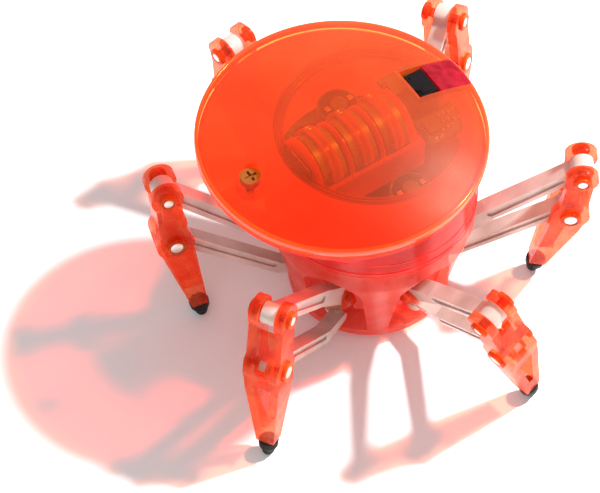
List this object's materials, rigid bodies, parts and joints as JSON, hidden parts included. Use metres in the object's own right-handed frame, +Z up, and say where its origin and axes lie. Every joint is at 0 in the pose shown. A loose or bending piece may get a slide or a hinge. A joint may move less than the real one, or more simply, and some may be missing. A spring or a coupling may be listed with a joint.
{
  "type": "hexapod spider robot",
  "caption": "Six-legged walking toy robot: clear domed head that turns on a round base, with jointed legs on ball hips driven by a crank.",
  "frame": {"origin": "centre of the belly's flat underside, on the axis that the head turns about", "axes": "+Z up through the head; +X lies eight degrees clockwise of the first leg's hip; the eye faces 36 degrees anticlockwise from +X at rest"},
  "size_m": [0.084, 0.0827, 0.0548],
  "materials": {
    "orange_clear": "clear moulded plastic, gloss",
    "red_clear": "clear moulded plastic, gloss",
    "arm_nylon": "satin moulded nylon",
    "lens_magenta": "dark clear plastic, gloss",
    "black_plastic": "moulded, gloss",
    "rubber_black": "moulded rubber, matt",
    "steel": "bright steel",
    "cell_steel": "nickel-plated steel",
    "board_green": "solder-masked board",
    "contact_brass": "sprung brass",
    "gear_plastic": "moulded acetal"
  },
  "bodies": {
    "chassis": {"belly_plate": "orange_clear", "base_shell": "orange_clear", "hip_hub": "orange_clear", "turn_ring_gear": "gear_plastic", "base_screws": "steel"},
    "crank": {"crankshaft": "steel"},
    "star_a": {"star_plate_a": "gear_plastic"},
    "star_b": {"star_plate_b": "gear_plastic"},
    "head": {"head_drum": "red_clear", "dome_cover": "orange_clear", "dome_screw": "steel", "eye_lens": "lens_magenta", "ir_receiver": "black_plastic", "circuit_board": "board_green", "battery_tray": "orange_clear", "battery_cells": "cell_steel", "battery_contacts": "contact_brass", "drive_motor": "steel", "turn_motor": "steel", "motor_deck": "gear_plastic"},
    "drive_gear": {"drive_gear": "gear_plastic"},
    "drive_pinion": {"drive_pinion": "gear_plastic"},
    "turn_pinion": {"turn_pinion": "gear_plastic"},
    "power_switch": {"power_switch": "black_plastic"},
    "hip_1": {"hip_1": "orange_clear"},
    "upper_arm_1": {"upper_arm_1": "arm_nylon"},
    "foot_1": {"foot_1": "orange_clear", "foot_tip_1": "rubber_black", "leg_pins_1": "orange_clear"},
    "lower_arm_1": {"lower_arm_1": "arm_nylon"},
    "hip_2": {"hip_2": "orange_clear"},
    "upper_arm_2": {"upper_arm_2": "arm_nylon"},
    "foot_2": {"foot_2": "orange_clear", "foot_tip_2": "rubber_black", "leg_pins_2": "orange_clear"},
    "lower_arm_2": {"lower_arm_2": "arm_nylon"},
    "hip_3": {"hip_3": "orange_clear"},
    "upper_arm_3": {"upper_arm_3": "arm_nylon"},
    "foot_3": {"foot_3": "orange_clear", "foot_tip_3": "rubber_black", "leg_pins_3": "orange_clear"},
    "lower_arm_3": {"lower_arm_3": "arm_nylon"},
    "hip_4": {"hip_4": "orange_clear"},
    "upper_arm_4": {"upper_arm_4": "arm_nylon"},
    "foot_4": {"foot_4": "orange_clear", "foot_tip_4": "rubber_black", "leg_pins_4": "orange_clear"},
    "lower_arm_4": {"lower_arm_4": "arm_nylon"},
    "hip_5": {"hip_5": "orange_clear"},
    "upper_arm_5": {"upper_arm_5": "arm_nylon"},
    "foot_5": {"foot_5": "orange_clear", "foot_tip_5": "rubber_black", "leg_pins_5": "orange_clear"},
    "lower_arm_5": {"lower_arm_5": "arm_nylon"},
    "hip_6": {"hip_6": "orange_clear"},
    "upper_arm_6": {"upper_arm_6": "arm_nylon"},
    "foot_6": {"foot_6": "orange_clear", "foot_tip_6": "rubber_black", "leg_pins_6": "orange_clear"},
    "lower_arm_6": {"lower_arm_6": "arm_nylon"}
  },
  "joints": [
    {"name": "crank_spin", "type": "hinge", "parent": "chassis", "child": "crank", "pos_m": [0, 0, 0], "axis": [0, 0, 1], "continuous": true},
    {"name": "star_a_orbit", "type": "hinge", "parent": "crank", "child": "star_a", "pos_m": [0.00199, 0.00024, 0.002], "axis": [0, 0, 1], "continuous": true},
    {"name": "star_b_orbit", "type": "hinge", "parent": "crank", "child": "star_b", "pos_m": [-0.00199, -0.00024, 0.002], "axis": [0, 0, 1], "continuous": true},
    {"name": "head_turn", "type": "hinge", "parent": "chassis", "child": "head", "pos_m": [0, 0, 0], "axis": [0, 0, 1], "continuous": true},
    {"name": "turn_pinion_spin", "type": "hinge", "parent": "head", "child": "turn_pinion", "pos_m": [0.00735, -0.01011, 0.021], "axis": [0, 0, 1], "continuous": true},
    {"name": "drive_gear_spin", "type": "hinge", "parent": "head", "child": "drive_gear", "pos_m": [0, 0, 0.027], "axis": [0, 0, 1], "continuous": true},
    {"name": "drive_pinion_spin", "type": "hinge", "parent": "head", "child": "drive_pinion", "pos_m": [-0.00647, 0.0089, 0.027], "axis": [0, 0, 1], "continuous": true},
    {"name": "power_switch_slide", "type": "slide", "parent": "head", "child": "power_switch", "axis": [0, 0, 1], "range_m": [0, 0.003]},
    {"name": "hip_swing_1", "type": "hinge", "parent": "chassis", "child": "hip_1", "pos_m": [0.01337, 0.00188, 0.0095], "axis": [0, 0, 1], "range_deg": [-6, 6]},
    {"name": "leg_lift_1", "type": "hinge", "parent": "hip_1", "child": "upper_arm_1", "pos_m": [0.01337, 0.00188, 0.0095], "axis": [0.0522, -0.9962, -0.0698], "range_deg": [-6, 4]},
    {"name": "knee_1", "type": "hinge", "parent": "upper_arm_1", "child": "foot_1", "pos_m": [0.03872, 0.00166, 0.03155], "axis": [0.0522, -0.9962, -0.0698], "range_deg": [-1.7, 2.3]},
    {"name": "foot_link_1", "type": "hinge", "parent": "foot_1", "child": "lower_arm_1", "pos_m": [0.03703, 0.00239, 0.0199], "axis": [0.0522, -0.9962, -0.0698], "range_deg": [-1.7, 1.3]},
    {"name": "hip_swing_2", "type": "hinge", "parent": "chassis", "child": "hip_2", "pos_m": [0.00506, 0.01252, 0.0095], "axis": [0, 0, 1], "range_deg": [-6, 6]},
    {"name": "leg_lift_2", "type": "hinge", "parent": "hip_2", "child": "upper_arm_2", "pos_m": [0.00506, 0.01252, 0.0095], "axis": [0.917, -0.3892, 0.0872], "range_deg": [-6, 4]},
    {"name": "knee_2", "type": "hinge", "parent": "upper_arm_2", "child": "foot_2", "pos_m": [0.01286, 0.03599, 0.03224], "axis": [0.917, -0.3892, 0.0872], "range_deg": [-1.8, 2.5]},
    {"name": "foot_link_2", "type": "hinge", "parent": "foot_2", "child": "lower_arm_2", "pos_m": [0.0138, 0.03559, 0.02049], "axis": [0.917, -0.3892, 0.0872], "range_deg": [-2.1, 1.6]},
    {"name": "hip_swing_3", "type": "hinge", "parent": "chassis", "child": "hip_3", "pos_m": [-0.00831, 0.01064, 0.0095], "axis": [0, 0, 1], "range_deg": [-6, 6]},
    {"name": "leg_lift_3", "type": "hinge", "parent": "hip_3", "child": "upper_arm_3", "pos_m": [-0.00831, 0.01064, 0.0095], "axis": [0.7286, 0.6794, 0.0872], "range_deg": [-6, 4]},
    {"name": "knee_3", "type": "hinge", "parent": "upper_arm_3", "child": "foot_3", "pos_m": [-0.02661, 0.02735, 0.03219], "axis": [0.7286, 0.6794, 0.0872], "range_deg": [-1.8, 2.4]},
    {"name": "foot_link_3", "type": "hinge", "parent": "foot_3", "child": "lower_arm_3", "pos_m": [-0.02572, 0.0279, 0.02043], "axis": [0.7286, 0.6794, 0.0872], "range_deg": [-2, 1.5]},
    {"name": "hip_swing_4", "type": "hinge", "parent": "chassis", "child": "hip_4", "pos_m": [-0.01337, -0.00188, 0.0095], "axis": [0, 0, 1], "range_deg": [-6, 6]},
    {"name": "leg_lift_4", "type": "hinge", "parent": "hip_4", "child": "upper_arm_4", "pos_m": [-0.01337, -0.00188, 0.0095], "axis": [-0.306, 0.9418, -0.1392], "range_deg": [-6, 4]},
    {"name": "knee_4", "type": "hinge", "parent": "upper_arm_4", "child": "foot_4", "pos_m": [-0.03817, -0.00666, 0.03166], "axis": [-0.306, 0.9418, -0.1392], "range_deg": [-1.7, 2.4]},
    {"name": "foot_link_4", "type": "hinge", "parent": "foot_4", "child": "lower_arm_4", "pos_m": [-0.03668, -0.0079, 0.02002], "axis": [-0.306, 0.9418, -0.1392], "range_deg": [-1.9, 1.4]},
    {"name": "hip_swing_5", "type": "hinge", "parent": "chassis", "child": "hip_5", "pos_m": [-0.00506, -0.01252, 0.0095], "axis": [0, 0, 1], "range_deg": [-6, 6]},
    {"name": "leg_lift_5", "type": "hinge", "parent": "hip_5", "child": "upper_arm_5", "pos_m": [-0.00506, -0.01252, 0.0095], "axis": [-0.9041, 0.4216, -0.0698], "range_deg": [-6, 4]},
    {"name": "knee_5", "type": "hinge", "parent": "upper_arm_5", "child": "foot_5", "pos_m": [-0.01704, -0.0345, 0.03191], "axis": [-0.9041, 0.4216, -0.0698], "range_deg": [-2.3, 3.1]},
    {"name": "foot_link_5", "type": "hinge", "parent": "foot_5", "child": "lower_arm_5", "pos_m": [-0.01761, -0.03761, 0.02054], "axis": [-0.9041, 0.4216, -0.0698], "range_deg": [-3.2, 2.3]},
    {"name": "hip_swing_6", "type": "hinge", "parent": "chassis", "child": "hip_6", "pos_m": [0.00831, -0.01064, 0.0095], "axis": [0, 0, 1], "range_deg": [-6, 6]},
    {"name": "leg_lift_6", "type": "hinge", "parent": "hip_6", "child": "upper_arm_6", "pos_m": [0.00831, -0.01064, 0.0095], "axis": [-0.6239, -0.7178, -0.309], "range_deg": [-6, 4]},
    {"name": "knee_6", "type": "hinge", "parent": "upper_arm_6", "child": "foot_6", "pos_m": [0.02267, -0.03229, 0.0308], "axis": [-0.6239, -0.7178, -0.309], "range_deg": [-2.1, 3]},
    {"name": "foot_link_6", "type": "hinge", "parent": "foot_6", "child": "lower_arm_6", "pos_m": [0.02628, -0.03065, 0.01969], "axis": [-0.6239, -0.7178, -0.309], "range_deg": [-2.9, 2.1]}
  ],
  "couplings": [
    {"joint": "star_a_orbit", "follows": "crank_spin", "ratio": -1},
    {"joint": "star_b_orbit", "follows": "crank_spin", "ratio": -1},
    {"joint": "turn_pinion_spin", "follows": "head_turn", "ratio": -6},
    {"joint": "drive_pinion_spin", "follows": "drive_gear_spin", "ratio": -3},
    {"joint": "knee_1", "follows": "leg_lift_1", "ratio": -0.2936},
    {"joint": "foot_link_1", "follows": "leg_lift_1", "ratio": 0.1989},
    {"joint": "knee_2", "follows": "leg_lift_2", "ratio": -0.3264},
    {"joint": "foot_link_2", "follows": "leg_lift_2", "ratio": 0.2631},
    {"joint": "knee_3", "follows": "leg_lift_3", "ratio": -0.3211},
    {"joint": "foot_link_3", "follows": "leg_lift_3", "ratio": 0.2533},
    {"joint": "knee_4", "follows": "leg_lift_4", "ratio": -0.3084},
    {"joint": "foot_link_4", "follows": "leg_lift_4", "ratio": 0.2261},
    {"joint": "knee_5", "follows": "leg_lift_5", "ratio": -0.4391},
    {"joint": "foot_link_5", "follows": "leg_lift_5", "ratio": 0.4531},
    {"joint": "knee_6", "follows": "leg_lift_6", "ratio": -0.4124},
    {"joint": "foot_link_6", "follows": "leg_lift_6", "ratio": 0.3981}
  ]
}
